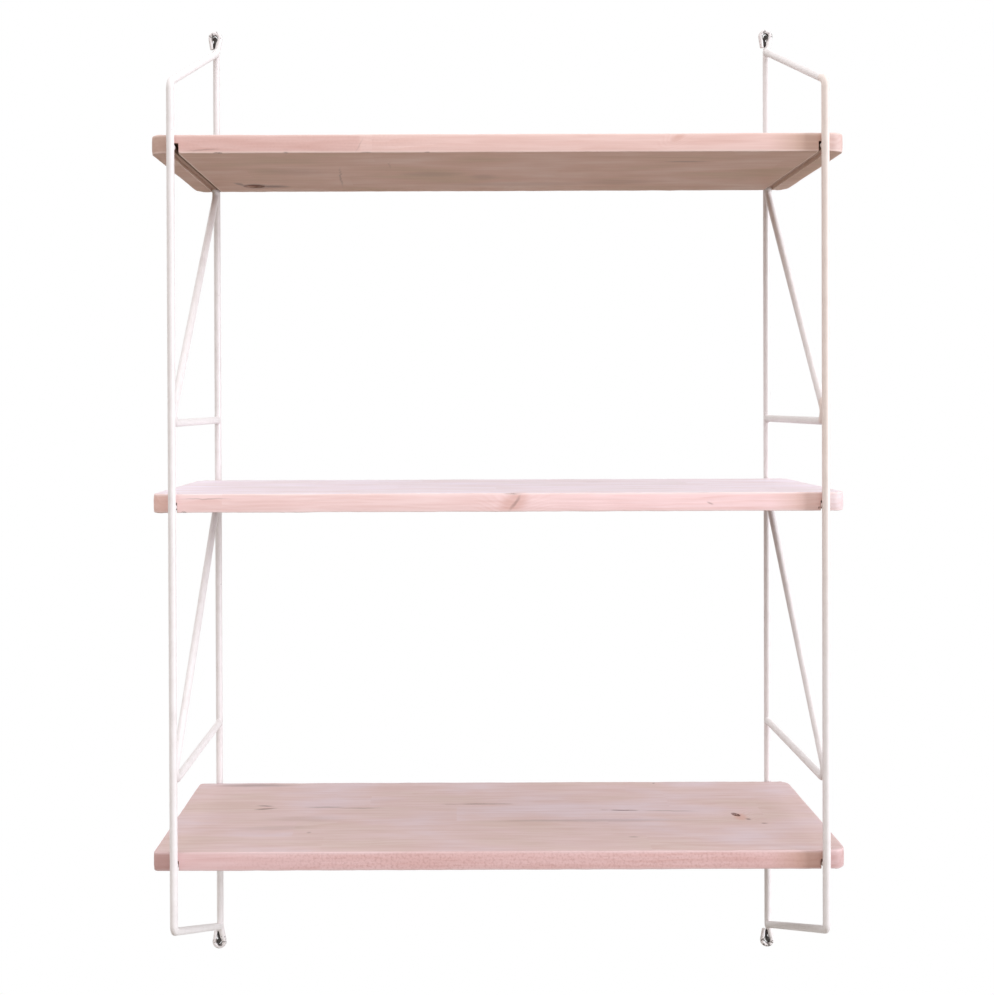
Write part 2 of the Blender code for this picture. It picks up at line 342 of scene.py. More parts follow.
rising = math.atan2(EYE_CENTRE.y, EYE_CENTRE.x) - math.asin(EYE_RADIUS / EYE_CENTRE.length)
closing = EYE_CENTRE - EYE_END
falling = math.atan2(closing.y, closing.x) + math.asin(EYE_RADIUS / closing.length)
kink = math.pi / 2 - rising
kink_tangent = KINK_RADIUS * math.tan(kink / 2)
up_run = math.sqrt(EYE_CENTRE.length_squared - EYE_RADIUS**2) - kink_tangent
down_run = math.sqrt(closing.length_squared - EYE_RADIUS**2)
left_x = LADDER_X["left"]
upright = start_wire("left_rear_upright_wire", (left_x, REAR_Y, 0), Vector((0, 0, 1)))
pull((0, 0, ARM_JOINT_Z - kink_tangent))
bend((left_x + KINK_RADIUS, REAR_Y, ARM_JOINT_Z - kink_tangent), (0, 1, 0), kink)
pull((up_run * math.cos(rising), 0, up_run * math.sin(rising)))
thick, thin, tip = EYE_WIRE
taper(thick)
curl = falling - rising + math.pi
curl_steps = math.ceil(curl / BEND_STEP)
for step in range(1, curl_steps + 1):
    bend((left_x + EYE_CENTRE.x, REAR_Y, ARM_JOINT_Z + EYE_CENTRE.y), (0, -1, 0), curl / curl_steps)
    taper(thick + (thin - thick) * step / curl_steps)
pull((-down_run * math.cos(falling), 0, -down_run * math.sin(falling)))
taper(tip)
bpy.ops.mesh.bevel(offset=CUT_END_ROUNDING, segments=2, affect="EDGES")
mirror_down(upright)
close_mesh()
ACROSS = (LADDER_X["right"] - LADDER_X["left"], 0, 0)
hang(copy_of(upright, "right_rear_upright_wire", ACROSS), "right_rear_upright")
hang(upright, "left_rear_upright")


# Front frames. Each is one length of the same wire, bent twice: a sloping arm from the rear upright, the
# front upright that the boards bear against, and the lower arm back to the wall. Its ends are welded to the
# rear upright.
FRONT_Y = -0.2112
FRONT_BEND_Z = 0.368
FRAME_BEND_RADIUS = 0.009

arm = Vector((REAR_Y - FRONT_Y, ARM_JOINT_Z - FRONT_BEND_Z))
arm_slope = math.atan2(arm.y, arm.x)
frame_turn = math.pi / 2 - arm_slope
frame_tangent = FRAME_BEND_RADIUS * math.tan(frame_turn / 2)
arm_run = arm.length - frame_tangent
front = start_wire("left_front_frame_wire", (left_x, FRONT_Y, 0), Vector((0, 0, 1)))
pull((0, 0, FRONT_BEND_Z - frame_tangent))
bend((left_x, FRONT_Y + FRAME_BEND_RADIUS, FRONT_BEND_Z - frame_tangent), (-1, 0, 0), frame_turn)
pull((0, arm_run * math.cos(arm_slope), arm_run * math.sin(arm_slope)))
mirror_down(front)
close_mesh()
hang(copy_of(front, "right_front_frame_wire", ACROSS), "right_front_frame")
hang(front, "left_front_frame")


# Zigzags. Each is one length of the wire: the rung that a board drops over, a bend at the rear upright, the
# diagonal brace, a bend at the front upright and the free rung. It is welded to the uprights at both bends
# and at both ends.
FREE_RUNG_Z = 0.073
ZIGZAG_BEND_RADIUS = 0.008
WELD_GAP = 0.0003

stand_off = 2 * WIRE_RADIUS + WELD_GAP + ZIGZAG_BEND_RADIUS
rear_former = Vector((REAR_Y - stand_off, SHELF_PITCH - ZIGZAG_BEND_RADIUS))
front_former = Vector((FRONT_Y + stand_off, FREE_RUNG_Z + ZIGZAG_BEND_RADIUS))
apart = front_former - rear_former
crossing = math.asin(2 * ZIGZAG_BEND_RADIUS / apart.length)
brace = math.atan2(apart.y, apart.x) - crossing
brace_run = apart.length * math.cos(crossing)
zigzag = start_wire("left_upper_zigzag_wire", (left_x, FRONT_Y, SHELF_PITCH), Vector((0, 1, 0)))
pull((0, rear_former.x - FRONT_Y, 0))
bend((left_x, *rear_former), (-1, 0, 0), -brace)
pull((0, brace_run * math.cos(brace), brace_run * math.sin(brace)))
bend((left_x, *front_former), (1, 0, 0), -brace)
pull((0, REAR_Y - front_former.x, 0))
close_mesh()
DOWN = Vector((0, 0, -SHELF_PITCH))
hang(copy_of(zigzag, "left_lower_zigzag_wire", DOWN), "left_lower_zigzag")
hang(copy_of(zigzag, "right_upper_zigzag_wire", ACROSS), "right_upper_zigzag")
hang(copy_of(zigzag, "right_lower_zigzag_wire", DOWN + Vector(ACROSS)), "right_lower_zigzag")
hang(zigzag, "left_upper_zigzag")


# Bottom rungs. Each is a short straight length of the wire under the bottom board, cut to fit between the
# uprights and a little thinner at its ends, where the welding tongs pressed it.
PRESSED_LENGTH = 0.004
PRESSED_WIDTH = 0.93

rung = start_wire("left_bottom_rung_wire", (left_x, FRONT_Y, -SHELF_PITCH), Vector((0, 1, 0)))
for run, width in (
    (PRESSED_LENGTH, PRESSED_WIDTH),
    (PRESSED_LENGTH, 1.0),
    (REAR_Y - FRONT_Y - 4 * PRESSED_LENGTH, 1.0),
    (PRESSED_LENGTH, PRESSED_WIDTH),
    (PRESSED_LENGTH, PRESSED_WIDTH),
):
    pull((0, run, 0))
    end = next(f for f in bmesh.from_edit_mesh(rung.data).faces if f.select).calc_center_median()
    edges = [v.co.x - left_x for v in bmesh.from_edit_mesh(rung.data).verts if v.select]
    bpy.ops.transform.resize(value=(width * WIRE_RADIUS / max(edges), 1, 1), center_override=end)
close_mesh()
hang(copy_of(rung, "right_bottom_rung_wire", ACROSS), "right_bottom_rung")
hang(rung, "left_bottom_rung")


# Welds. The ladders are gas welded: a lump of filler runs round each butt joint, a short bead lies in the
# groove where a bend touches an upright, and a thin one closes the crotch of each eye. That one fills the
# dark gap below the nail and takes the eye's painted shade. A ring of filler has its distance from the
# joint, then its width and height in radii of the wire.
FILLET_RINGS = (
    (0.0052, 1.00, 1.00),
    (0.0044, 1.02, 1.03),
    (0.0038, 1.05, 1.20),
    (0.0031, 1.02, 1.42),
    (0.0018, 0.94, 1.62),
)
BEAD_HALF_SIZES = (0.0029, 0.0017, 0.0023)
CROTCH = (-0.00165, 0.0090)
CROTCH_HALF_SIZES = (0.0013, 0.0012, 0.0042)
LUMP_SIZE = 0.0024
LUMP_HEIGHT = 0.0005

lumps = bpy.data.textures.new("weld_lumps", "CLOUDS")
lumps.noise_scale = LUMP_SIZE


def lumpy(weld):
    """Rounds a weld off and gives it the uneven skin of filler that set where it ran."""
    close_mesh()
    rounding = weld.modifiers.new("rounding", "SUBSURF")
    rounding.levels = rounding.render_levels = 1
    bpy.ops.object.modifier_apply(modifier=rounding.name)
    skin = weld.modifiers.new("skin", "DISPLACE")
    skin.texture = lumps
    skin.texture_coords = "GLOBAL"
    skin.strength = LUMP_HEIGHT
    bpy.ops.object.modifier_apply(modifier=skin.name)


for side, x in LADDER_X.items():
    beads = []
    for joint_z, slope in (
        (ARM_JOINT_Z, arm_slope),
        (-ARM_JOINT_Z, -arm_slope),
        (FREE_RUNG_Z, 0.0),
        (FREE_RUNG_Z - SHELF_PITCH, 0.0),
    ):
        joint = Vector((x, REAR_Y, joint_z))
        out = Vector((0, -math.cos(slope), -math.sin(slope)))
        upright_way = Vector((0, -math.sin(slope), math.cos(slope)))
        weld = start_wire(f"{side}_weld", joint + out * FILLET_RINGS[0][0], -out)
        beads.append(weld)
        for (before, _, _), (after, width, rise) in zip(FILLET_RINGS, FILLET_RINGS[1:]):
            pull(out * (after - before))
            centre = joint + out * after
            for vertex in [v for v in bmesh.from_edit_mesh(weld.data).verts if v.select]:
                offset = vertex.co - centre
                angle = math.atan2(offset.dot(upright_way), offset.x)
                vertex.co = centre + Vector((width * WIRE_RADIUS * math.cos(angle), 0, 0))
                vertex.co += upright_way * (rise * WIRE_RADIUS * math.sin(angle))
        lumpy(weld)
    for at, half_sizes in (
        ((x, REAR_Y - WIRE_RADIUS, SHELF_PITCH - ZIGZAG_BEND_RADIUS), BEAD_HALF_SIZES),
        ((x, FRONT_Y + WIRE_RADIUS, FREE_RUNG_Z + ZIGZAG_BEND_RADIUS), BEAD_HALF_SIZES),
        ((x, REAR_Y - WIRE_RADIUS, -ZIGZAG_BEND_RADIUS), BEAD_HALF_SIZES),
        ((x, FRONT_Y + WIRE_RADIUS, FREE_RUNG_Z + ZIGZAG_BEND_RADIUS - SHELF_PITCH), BEAD_HALF_SIZES),
        # the filler in each eye's crotch, which the eye's painted shade makes dark
        ((x + CROTCH[0], REAR_Y, ARM_JOINT_Z + CROTCH[1]), CROTCH_HALF_SIZES),
        ((x + CROTCH[0], REAR_Y, -ARM_JOINT_Z - CROTCH[1]), CROTCH_HALF_SIZES),
    ):
        bpy.ops.object.select_all(action="DESELECT")
        bpy.ops.mesh.primitive_uv_sphere_add(
            segments=12, ring_count=8, radius=1.0, location=at, scale=half_sizes
        )
        weld = bpy.context.object
        beads.append(weld)
        bpy.ops.object.transform_apply(location=True, rotation=True, scale=True)
        bpy.ops.object.mode_set(mode="EDIT")
        lumpy(weld)
    pick(beads[0])
    for weld in beads:
        weld.select_set(True)
    bpy.ops.object.join()
    welds = bpy.context.object
    welds.name = welds.data.name = f"{side}_welds"
    cover(welds, white_paint)
    bpy.ops.object.shade_smooth_by_angle(angle=SMOOTH_ANGLE)
    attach(welds, "ladders")


# Boards. Each is one panel of glued pine staves, planed, with its corners rounded and its arrises eased by
# hand. A saw kerf across its underside near each end drops over a rung. The wood has dried since, and has
# opened a few cracks.
BOARD_LENGTH = 0.605
BOARD_THICKNESS = 0.017
BOARD_DROP = 0.0053
WIDEST_CORNER = 0.013
ARRIS_RADIUS = 0.0012
SLICE = 0.006
HAND_PLANED = 0.0005
ARRIS_WEAR = 0.0005
KERF_DEPTH = 0.009
KERF_OUTER_WALL = 0.2868
KERF_MIDDLE = 0.2830
KERF_MOUTH_LENGTH = 0.011
KERF_ROOF_MARGIN = 0.0003
KERF_WALL_MARGIN = 0.0002
SAW_OVERRUN = 0.010
END_WEAR = 0.006
PLANED_WAVE = 0.045
NIBBLE = 0.009
HOLLOW_ROUGHNESS = 0.12
HOLLOW_SHADE_SPREAD = 1.12
HOLLOW_SHADE_STRENGTH = 0.9
HOLLOW_SHADE_CORE = 0.8
STROKE_CORE = 0.2
RECESS_SHADE_DEPTHS = (0.0014, 0.0022)
RUBBED_AND_HIGHLIGHT_DEPTHS = (0.0006, 0.0030)
FACE_DEPTHS = (0.0006, 0.0020)
LEFT_END_SHADOW_TONES = (-0.2875, -0.2855)
UPRIGHT_SHADOW_TONES = (0.2350, 0.2600)
RIGHT_END_SHADE_TONES = (0.2840, 0.2880)
LIP_HEIGHT = 0.0008
LIP_OFFSET = 0.0005
LIP_HALF_WIDTH = 0.0006
STAVE_WIDTH = 0.040
STAVE_LENGTH = 0.290
STAVE_ROW_OFFSET = 10.5
STAVE_SHIFT = (5.0, 0.3, 0.3)
PITH_SPREAD = (0.0, 0.16, 0.06)
PITH_START = (0.0, -0.08, 0.015)
RING_WIDTH = 0.0034
RING_WANDER = 0.020
KNOT_SWIRL = 0.011
KNOT_LEAN = math.radians(-30)
WANDER_MM = (200.0, 45.45, 45.45)
FIBRE_MM = (45.45, 1.667, 1.667)
STREAK_MM = (71.43, 5.882, 5.882)
WASH_PATCH_MM = (100.0, 41.67, 41.67)
SAW_SPECK_MM = 2.326
RAGGED_EDGE_MM = 11.11
RAGGED_SHIFT = Vector((0.006, 0.003, 0.003))

waviness = bpy.data.textures.new("planed_waves", "CLOUDS")
waviness.noise_scale = PLANED_WAVE
nibbles = bpy.data.textures.new("arris_nibbles", "CLOUDS")
nibbles.noise_scale = NIBBLE


def pick_edges(piece, wanted):
    """Selects the edges whose two ends pass the test, and nothing else."""
    bpy.ops.mesh.select_all(action="DESELECT")
    for edge in bmesh.from_edit_mesh(piece.data).edges:
        edge.select_set(wanted(edge.verts[0].co, edge.verts[1].co))


def cut(board, cutter):
    """Takes the cutter's shape out of the board, and throws the cutter away."""
    pick(board)
    tool = board.modifiers.new("cut", "BOOLEAN")
    tool.operation = "DIFFERENCE"
    tool.solver = "EXACT"
    tool.object = cutter
    bpy.ops.object.modifier_apply(modifier=tool.name)
    bpy.data.meshes.remove(cutter.data)


def plank(name, middle, corners):
    """One panel without its kerfs. Its corners go front left and right, then rear left and right."""
    bpy.ops.object.select_all(action="DESELECT")
    bpy.ops.mesh.primitive_cube_add(
        size=1, location=middle, scale=(BOARD_LENGTH, BOARD_DEPTH, BOARD_THICKNESS)
    )
    board = bpy.context.object
    board.name = board.data.name = name
    bpy.ops.object.transform_apply(location=True, rotation=True, scale=True)
    bpy.ops.object.mode_set(mode="EDIT")
    bpy.ops.mesh.select_mode(type="EDGE")
    for radius, end, face in zip(corners, (-1, 1, -1, 1), (-1, -1, 1, 1)):
        pick_edges(
            board,
            lambda a, b: (
                abs(a.z - b.z) > BOARD_THICKNESS / 2 and a.x * end > 0 and (a.y - BOARD_Y) * face > 0
            ),
        )
        bpy.ops.mesh.bevel(offset=radius, segments=8, affect="EDGES")
    pick_edges(board, lambda a, b: abs(a.z - b.z) < BOARD_THICKNESS / 2)
    bpy.ops.mesh.bevel(offset=ARRIS_RADIUS, segments=3, affect="EDGES")
    for axis, length in enumerate((BOARD_LENGTH, BOARD_DEPTH, BOARD_THICKNESS)):
        slices = round(length / SLICE)
        normal = [float(i == axis) for i in range(3)]
        for number in range(1, slices):
            point = list(middle)
            point[axis] = middle[axis] - length / 2 + length * number / slices
            bpy.ops.mesh.select_all(action="SELECT")
            bpy.ops.mesh.bisect(plane_co=point, plane_no=normal)
    close_mesh()
    arrises = board.vertex_groups.new(name="arrises")
    worn = [
        v.index
        for v in board.data.vertices
        if abs(v.co.z - middle.z) > BOARD_THICKNESS / 2 - ARRIS_RADIUS
        and (
            abs(v.co.x) > BOARD_LENGTH / 2 - END_WEAR
            or abs(v.co.y - BOARD_Y) > BOARD_DEPTH / 2 - ARRIS_RADIUS
        )
    ]
    arrises.add(worn, 1.0, "REPLACE")
    for texture, depth, group in ((waviness, HAND_PLANED, ""), (nibbles, ARRIS_WEAR, "arrises")):
        planing = board.modifiers.new("planing", "DISPLACE")
        planing.texture = texture
        planing.texture_coords = "GLOBAL"
        planing.strength = depth
        planing.mid_level = 1.0
        planing.vertex_group = group
        bpy.ops.object.modifier_apply(modifier=planing.name)
    board.vertex_groups.clear()
    return board


def hollow(centre, half_sizes, turn, roughness):
    """A rough lens, for a drying crack, a knot hole or a chip."""
    bpy.ops.object.select_all(action="DESELECT")
    bpy.ops.mesh.primitive_uv_sphere_add(
        segments=20, ring_count=10, radius=1.0, location=centre, rotation=(0, 0, turn), scale=half_sizes
    )
    lens_shape = bpy.context.object
    bpy.ops.object.transform_apply(location=True, rotation=True, scale=True)
    bpy.ops.object.mode_set(mode="EDIT")
    bpy.ops.mesh.select_all(action="SELECT")
    bpy.ops.transform.vertex_random(offset=roughness, uniform=1.0, seed=3)
    bpy.ops.object.mode_set(mode="OBJECT")
    return lens_shape


def per_metre(sizes):
    """How many times a pattern of these sizes, in millimetres, repeats in a metre."""
    return [1000 / size for size in sizes]


# Pine under a thin pink-white wash: fine rings and fibres show through it as soft streaks along each stave,
# the tone drifts from beige to pink, and the arrises are rubbed pale, with a painted highlight in the rub.
# The colours also hold painted light: painted shade in the kerfs, cracks and hollows, the painted shadows
# of the front uprights along the edges, and face tones set for the light that falls on each face.
def washed_pine(name, look, middle, lift, marks):
    """The wood of one board, with its own tones, grain, knot and marks."""
    seed = look["seed"]
    made, tree, shader, place = new_finish(name)
    local = add(tree, "VectorMath", {0: place, 1: middle}, "SUBTRACT")
    along, back, rise = add(tree, "SeparateXYZ", {"Vector": local}).outputs

    # how far a point lies in from the board's sides and from its two faces, and whether it lies in a kerf;
    # deep points and the kerfs take painted shade
    flat = (BOARD_LENGTH / 2 - WIDEST_CORNER, BOARD_DEPTH / 2 - WIDEST_CORNER, BOARD_LENGTH)
    size = add(tree, "VectorMath", {0: local}, "ABSOLUTE")
    past = add(tree, "VectorMath", {0: size, 1: flat}, "SUBTRACT")
    corner = add(tree, "VectorMath", {0: past, 1: (0, 0, 0)}, "MAXIMUM")
    reach = add(tree, "VectorMath", {0: corner}, "LENGTH")
    from_side = add(tree, "Math", {0: WIDEST_CORNER, 1: reach}, "SUBTRACT")
    height = add(tree, "Math", {0: rise}, "ABSOLUTE")
    from_face = add(tree, "Math", {0: BOARD_THICKNESS / 2, 1: height}, "SUBTRACT")
    depth = add(tree, "Math", {0: from_side, 1: from_face}, "MINIMUM")
    inward = add(tree, "Math", {0: from_side, 1: from_face}, "MAXIMUM")
    inside = add(
        tree,
        "MapRange",
        {"Value": depth, "From Min": RECESS_SHADE_DEPTHS[0], "From Max": RECESS_SHADE_DEPTHS[1]},
        interpolation_type="SMOOTHSTEP",
    )
    roof = KERF_DEPTH - BOARD_THICKNESS / 2 + KERF_ROOF_MARGIN
    low = add(tree, "Math", {0: rise, 1: roof}, "LESS_THAN")
    for side, wall in zip((-1, 1), look["kerf_mouths"]):
        half_width = (KERF_MIDDLE - wall) / 2 + KERF_WALL_MARGIN
        slot = add(tree, "Math", {0: along, 1: side * (wall + KERF_MIDDLE) / 2, 2: half_width}, "COMPARE")
        kerf = add(tree, "Math", {0: slot, 1: low}, "MULTIPLY")
        inside = add(tree, "Math", {0: inside, 1: kerf}, "MAXIMUM")
    lip = 0.0
    lowest = add(tree, "Math", {0: rise, 1: LIP_HEIGHT - BOARD_THICKNESS / 2}, "LESS_THAN")
    for side, wall in zip((-1, 1), look["kerf_mouths"]):
        lip_middle = side * (wall - LIP_OFFSET)
        by_wall = add(tree, "Math", {0: along, 1: lip_middle, 2: LIP_HALF_WIDTH}, "COMPARE")
        edge_lip = add(tree, "Math", {0: by_wall, 1: lowest}, "MULTIPLY")
        lip = add(tree, "Math", {0: lip, 1: edge_lip}, "MAXIMUM")
    aside = add(tree, "Math", {0: along}, "ABSOLUTE")
    outer = add(
        tree,
        "Math",
        {0: aside, 1: KERF_OUTER_WALL, 2: KERF_OUTER_WALL - KERF_MIDDLE - KERF_ROOF_MARGIN},
        "COMPARE",
    )
    within = add(tree, "Math", {0: aside, 1: KERF_OUTER_WALL + KERF_WALL_MARGIN}, "LESS_THAN")
    outer_low = add(tree, "Math", {0: outer, 1: low}, "MULTIPLY")
    raw_wall = add(tree, "Math", {0: outer_low, 1: within}, "MULTIPLY")
    arris = add(
        tree,
        "MapRange",
        {
            "Value": inward,
            "From Min": RUBBED_AND_HIGHLIGHT_DEPTHS[0],
            "From Max": RUBBED_AND_HIGHLIGHT_DEPTHS[1],
            "To Min": 1.0,
            "To Max": 0.0,
        },
        interpolation_type="SMOOTHSTEP",
    )
    on_face = add(
        tree,
        "MapRange",
        {"Value": from_side, "From Min": FACE_DEPTHS[0], "From Max": FACE_DEPTHS[1]},
    )

    # the staves, each with its own piece of grain and a tone that hardly differs from its neighbours
    rows = add(tree, "Math", {0: back, 1: 1 / STAVE_WIDTH, 2: STAVE_ROW_OFFSET}, "MULTIPLY_ADD")
    row = add(tree, "Math", {0: rows}, "FLOOR")
    start = add(tree, "Math", {0: row, 1: seed}, "ADD")
    stagger = add(tree, "TexWhiteNoise", {"W": start}, noise_dimensions="1D")
    ends = add(tree, "Math", {0: along, 1: 1 / STAVE_LENGTH, 2: stagger}, "MULTIPLY_ADD")
    length_place = add(tree, "Math", {0: ends}, "FLOOR")
    inner = add(tree, "Math", {0: from_side, 1: ARRIS_RADIUS}, "GREATER_THAN")
    place_in_row = add(tree, "Math", {0: length_place, 1: inner}, "MULTIPLY")
    number = add(tree, "CombineXYZ", {"X": row, "Y": place_in_row, "Z": seed})
    stave = add(tree, "TexWhiteNoise", {"Vector": number}, noise_dimensions="3D")
    moved = add(tree, "VectorMath", {0: stave.outputs["Color"], 1: STAVE_SHIFT, 2: local}, "MULTIPLY_ADD")

    # year rings round a pith outside each stave, which wander along the grain and swirl round a knot
    wander_place = add(tree, "VectorMath", {0: moved, 1: per_metre(WANDER_MM)}, "MULTIPLY")
    wander = add(tree, "TexNoise", {"Vector": wander_place, "Scale": 1.0, "Detail": 3.0})
    pith = add(
        tree,
        "VectorMath",
        {0: stave.outputs["Color"], 1: PITH_SPREAD, 2: PITH_START},
        "MULTIPLY_ADD",
    )
    cross = add(tree, "VectorMath", {0: local, 1: (0.0, 1.0, 1.0), 2: pith}, "MULTIPLY_ADD")
    radius = add(tree, "VectorMath", {0: cross}, "LENGTH")
    wandered = add(tree, "Math", {0: wander, 1: RING_WANDER, 2: radius}, "MULTIPLY_ADD")
    knot_place, knot_size, knot_strength = look["knot"]
    knot_local = add(
        tree,
        "Mapping",
        {
            "Vector": place,
            "Location": Vector(knot_place) + lift,
            "Rotation": (0, KNOT_LEAN, 0),
            "Scale": knot_size,
        },
        vector_type="TEXTURE",
    )
    knot_far = add(tree, "VectorMath", {0: knot_local}, "LENGTH")
    swirl = add(
        tree,
        "MapRange",
        {"Value": knot_far, "From Min": 0.0, "From Max": 3.0, "To Min": KNOT_SWIRL, "To Max": 0.0},
        interpolation_type="SMOOTHSTEP",
    )
    grown = add(tree, "Math", {0: wandered, 1: swirl}, "ADD")
    rings = add(tree, "Math", {0: grown, 1: RING_WIDTH}, "DIVIDE")
    year = add(tree, "Math", {0: rings}, "FRACT")
    late = add(
        tree,
        "MapRange",
        {"Value": year, "From Min": 0.30, "From Max": 0.95},
        interpolation_type="SMOOTHSTEP",
    )

    # fibres, drawn coarser than real ones so that they show, and broader streaks
    fibre_place = add(tree, "VectorMath", {0: moved, 1: per_metre(FIBRE_MM)}, "MULTIPLY")
    fibres = add(tree, "TexNoise", {"Vector": fibre_place, "Scale": 1.0, "Detail": 2.0})
    streak_place = add(tree, "VectorMath", {0: moved, 1: per_metre(STREAK_MM)}, "MULTIPLY")
    streaks = add(tree, "TexNoise", {"Vector": streak_place, "Scale": 1.0, "Detail": 3.0})

    # the wash, thick and thin in patches a hand long, over tones that change along the edge; these tones
    # also paint the shadow that each front upright casts on its left, and painted shade at the right end
    wash_place = add(
        tree,
        "VectorMath",
        {0: local, 1: per_metre(WASH_PATCH_MM), 2: (seed, seed, 0)},
        "MULTIPLY_ADD",
    )
    wash = add(tree, "TexNoise", {"Vector": wash_place, "Scale": 1.0, "Detail": 3.0})
    share = add(tree, "Math", {0: along, 1: 1 / BOARD_LENGTH, 2: 0.5}, "MULTIPLY_ADD")
    left_end_shadow, left_stave, right_stave, upright_shadow, right_end_shade = look["edge_tones_and_shadows"]
    joint_from, joint_to = look["stave_joint"]
    tones_along = (
        (-BOARD_LENGTH / 2, left_end_shadow),
        (LEFT_END_SHADOW_TONES[0], left_end_shadow),
        (LEFT_END_SHADOW_TONES[1], left_stave),
        (joint_from, left_stave),
        (joint_to, right_stave),
        (UPRIGHT_SHADOW_TONES[0], right_stave),
        (UPRIGHT_SHADOW_TONES[1], upright_shadow),
        (RIGHT_END_SHADE_TONES[0], upright_shadow),
        (RIGHT_END_SHADE_TONES[1], right_end_shade),
    )
    edge = add(
        tree,
        "ValToRGB",
        {"Fac": share},
        ramp=[(spot / BOARD_LENGTH + 0.5, tone) for spot, tone in tones_along],
    )
    patch = add(tree, "Math", {0: stave, 1: 0.14, 2: wash}, "MULTIPLY_ADD")
    # the faces take tones of their own, which hold painted light: lilac on the middle board for a painted
    # reflection, and darker on the top board's upper face, set against the light from above
    under, upper = [
        add(tree, "ValToRGB", {"Fac": patch}, ramp=list(zip((0.40, 0.58, 0.76), tones)))
        for tones in (look["under_tones"], look["upper_painted_light_tones"])
    ]
    upward = add(tree, "Math", {0: rise, 1: 0.0}, "GREATER_THAN")
    face = add(tree, "Mix", {"Factor": upward, "A": under, "B": upper}, data_type="RGBA")
    colour = add(tree, "Mix", {"Factor": on_face, "A": edge, "B": face}, data_type="RGBA")
    ring_show = add(
        tree,
        "MapRange",
        {"Value": wash, "From Min": 0.35, "From Max": 0.65, "To Min": 0.30, "To Max": 0.05},
    )
    ring_share = add(tree, "Math", {0: late, 1: ring_show}, "MULTIPLY")
    streak_tint = add(tree, "ValToRGB", {"Fac": streaks}, ramp=[(0.34, "#F2E7E3"), (0.60, "#FFFFFF")])
    fibre_tint = add(tree, "ValToRGB", {"Fac": fibres}, ramp=[(0.30, "#F3ECE9"), (0.56, "#FFFFFF")])
    for share_shown, tint in (
        (ring_share, linear("#F0DFD7")),
        (0.5, streak_tint),
        (0.45, fibre_tint),
    ):
        colour = add(
            tree,
            "Mix",
            {"Factor": share_shown, "A": colour, "B": tint},
            data_type="RGBA",
            blend_type="MULTIPLY",
        )

    # the sawn edge has dark specks in the bottoms of the saw marks: partly wash that missed them, partly
    # painted shade in the pits under grazing light
    saw_middle, saw_half, saw_strength = look["saw_marks"]
    specks = add(
        tree,
        "TexNoise",
        {"Vector": place, "Scale": 1000 / SAW_SPECK_MM, "Detail": 3.0, "Roughness": 0.6},
    )
    pit_shade = add(tree, "MapRange", {"Value": specks, "From Min": 0.46, "From Max": 0.74})
    from_saw = add(tree, "Math", {0: along, 1: saw_middle}, "SUBTRACT")
    saw_far = add(tree, "Math", {0: from_saw}, "ABSOLUTE")
    sawn = add(
        tree,
        "MapRange",
        {
            "Value": saw_far,
            "From Min": saw_half,
            "From Max": 2 * saw_half,
            "To Min": saw_strength,
            "To Max": 0.0,
        },
        interpolation_type="SMOOTHSTEP",
    )
    on_edge = add(tree, "Math", {0: 1.0, 1: on_face}, "SUBTRACT")
    sawn_edge = add(tree, "Math", {0: sawn, 1: on_edge}, "MULTIPLY")
    pit_shade_share = add(tree, "Math", {0: pit_shade, 1: sawn_edge}, "MULTIPLY")
    knot_tint = add(
        tree,
        "MapRange",
        {"Value": knot_far, "From Min": 0.4, "From Max": 1.3, "To Min": knot_strength, "To Max": 0.0},
        interpolation_type="SMOOTHSTEP",
    )

    # marks seen on this board: streaks and cracks, each a lens, whose edge is ragged where it fades slowly;
    # the marks over the hollows, and two strokes at kerf notches, are painted shade
    ragged = add(tree, "TexNoise", {"Vector": place, "Scale": 1000 / RAGGED_EDGE_MM, "Detail": 2.0})
    shaken = add(
        tree,
        "VectorMath",
        {0: ragged.outputs["Color"], 1: RAGGED_SHIFT, 2: place},
        "MULTIPLY_ADD",
    )
    dark = 0.0
    for centre, half_sizes, turn, strength, core in marks:
        sharp = core > STROKE_CORE
        lens_place = add(
            tree,
            "Mapping",
            {
                "Vector": place if sharp else shaken,
                "Location": centre if sharp else centre + RAGGED_SHIFT / 2,
                "Rotation": turn,
                "Scale": half_sizes,
            },
            vector_type="TEXTURE",
        )
        far = add(tree, "VectorMath", {0: lens_place}, "LENGTH")
        stroke = add(
            tree,
            "MapRange",
            {"Value": far, "From Min": core, "From Max": 1.0, "To Min": strength, "To Max": 0.0},
            interpolation_type="SMOOTHSTEP",
        )
        dark = add(tree, "Math", {0: dark, 1: stroke}, "MAXIMUM")
    # the rubbed arrises are partly wear and partly a painted highlight
    rubbing = add(tree, "Math", {0: streaks, 1: 0.25}, "ADD")
    rub_and_highlight = add(tree, "Math", {0: arris, 1: rubbing}, "MULTIPLY")
    for share_shown, tone in (
        (pit_shade_share, "#A9766C"),
        (knot_tint, "#C9917F"),
        (rub_and_highlight, look["rubbed_and_highlight_tone"]),
        (dark, "#6A4A3F"),
        # painted shade in the kerfs, cracks and hollows
        (inside, "#7A5340"),
        (lip, "#F0DACB"),
        (raw_wall, "#F6E0D2"),
    ):
        colour = add(tree, "Mix", {"Factor": share_shown, "A": colour, "B": linear(tone)}, data_type="RGBA")
    finish = add(tree, "MapRange", {"Value": fibres, "To Min": 0.52, "To Max": 0.70})
    fine = add(tree, "Math", {0: late, 1: 0.5, 2: fibres}, "MULTIPLY_ADD")
    scored = add(tree, "Math", {0: fine, 1: dark}, "SUBTRACT")
    level = add(tree, "Math", {0: scored, 1: pit_shade_share}, "SUBTRACT")
    relief = add(tree, "Bump", {"Height": level, "Strength": 0.25, "Distance": 0.0004})
    feed(tree, shader, {"Base Color": colour, "Roughness": finish, "Normal": relief})
    return made


UPPER = BOARD_THICKNESS - BOARD_DROP
UNDER = -BOARD_DROP
FRONT_EDGE = BOARD_Y - BOARD_DEPTH / 2
